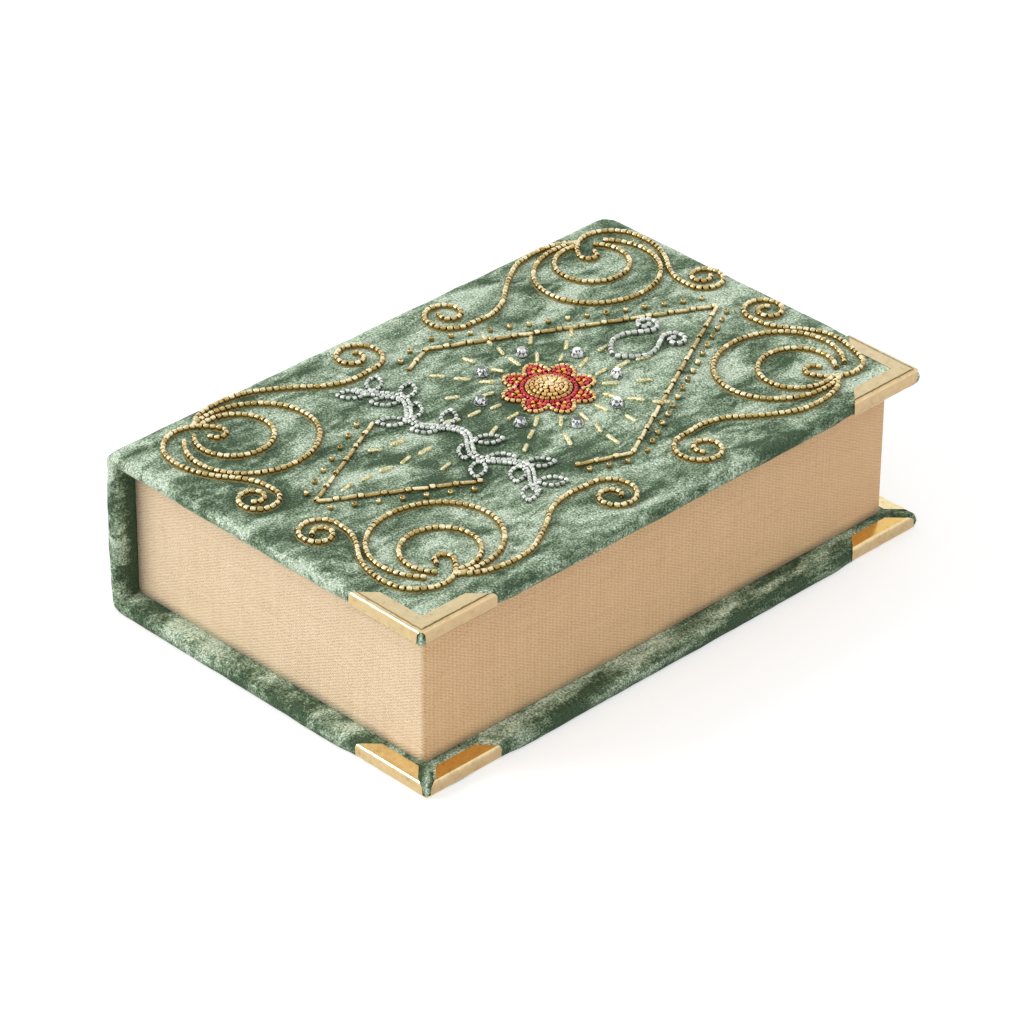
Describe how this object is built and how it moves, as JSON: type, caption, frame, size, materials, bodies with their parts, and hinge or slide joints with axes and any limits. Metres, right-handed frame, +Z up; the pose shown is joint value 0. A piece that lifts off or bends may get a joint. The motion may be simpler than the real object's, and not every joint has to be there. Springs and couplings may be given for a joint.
{
  "type": "book-shaped jewelry box",
  "caption": "Jewelry box shaped like a lying hardback book, with a beaded velvet lid hinged on cloth along the spine, metal book corners, a linen page block and a lined tray.",
  "frame": {"origin": "centre of the overall box on the plane it stands on, under the middle of the back cover", "axes": "+X from the spine to the fore edge, +Y from the tail to the head, +Z up out of the front cover"},
  "size_m": [0.136, 0.2036, 0.0569],
  "materials": {
    "velvet": "crushed velvet, mottled sage green",
    "linen": "plain-weave linen, peach beige",
    "lining": "short-pile velvet lining, deep green",
    "greyboard": "plain greyboard",
    "brass": "antique brass plate, satin",
    "magnet": "nickel plated",
    "gold_beads": "metallic gold glass beads",
    "silver_beads": "silver-lined clear glass beads",
    "amber_beads": "silver-lined amber glass beads",
    "red_beads": "transparent red glass beads",
    "crystal": "foil-backed cut crystal in a small metal setting"
  },
  "bodies": {
    "case": {"base_board": "greyboard", "base_velvet": "velvet", "base_corner_tail": "brass", "base_corner_head": "brass", "spine_board": "greyboard", "spine_velvet": "velvet", "spine_beads": "gold_beads", "hinge_strip": "velvet", "tail_wall": "greyboard", "head_wall": "greyboard", "fore_edge_wall": "greyboard", "spine_wall": "greyboard", "page_linen": "linen", "tray_floor": "greyboard", "floor_lining": "lining", "lining_tail": "lining", "lining_head": "lining", "lining_fore_edge": "lining", "lining_spine": "lining", "long_divider": "lining", "cross_divider": "lining", "ring_pad": "lining", "ring_roll_1": "lining", "ring_roll_2": "lining", "ring_roll_3": "lining", "case_magnet_tail": "magnet", "case_magnet_head": "magnet"},
    "lid": {"lid_board": "greyboard", "lid_velvet": "velvet", "lid_lining": "lining", "lid_corner_tail": "brass", "lid_corner_head": "brass", "lid_magnet_tail": "magnet", "lid_magnet_head": "magnet", "scroll_tail_spine": "gold_beads", "scroll_tail_fore": "gold_beads", "scroll_head_spine": "gold_beads", "scroll_head_fore": "gold_beads", "lozenge_head": "gold_beads", "lozenge_tail": "gold_beads", "medallion_centre": "amber_beads", "medallion_petals": "red_beads", "crystal_1": "crystal", "crystal_2": "crystal", "crystal_3": "crystal", "crystal_4": "crystal", "crystal_5": "crystal", "crystal_6": "crystal", "crystal_7": "crystal", "crystal_8": "crystal", "silver_garland": "silver_beads", "silver_lyre_spine": "silver_beads", "silver_lyre_fore": "silver_beads"}
  },
  "joints": [
    {"name": "lid_hinge", "type": "hinge", "parent": "case", "child": "lid", "pos_m": [-0.06628, 0, 0.0498], "axis": [0, -1, 0], "range_deg": [0, 180]}
  ]
}
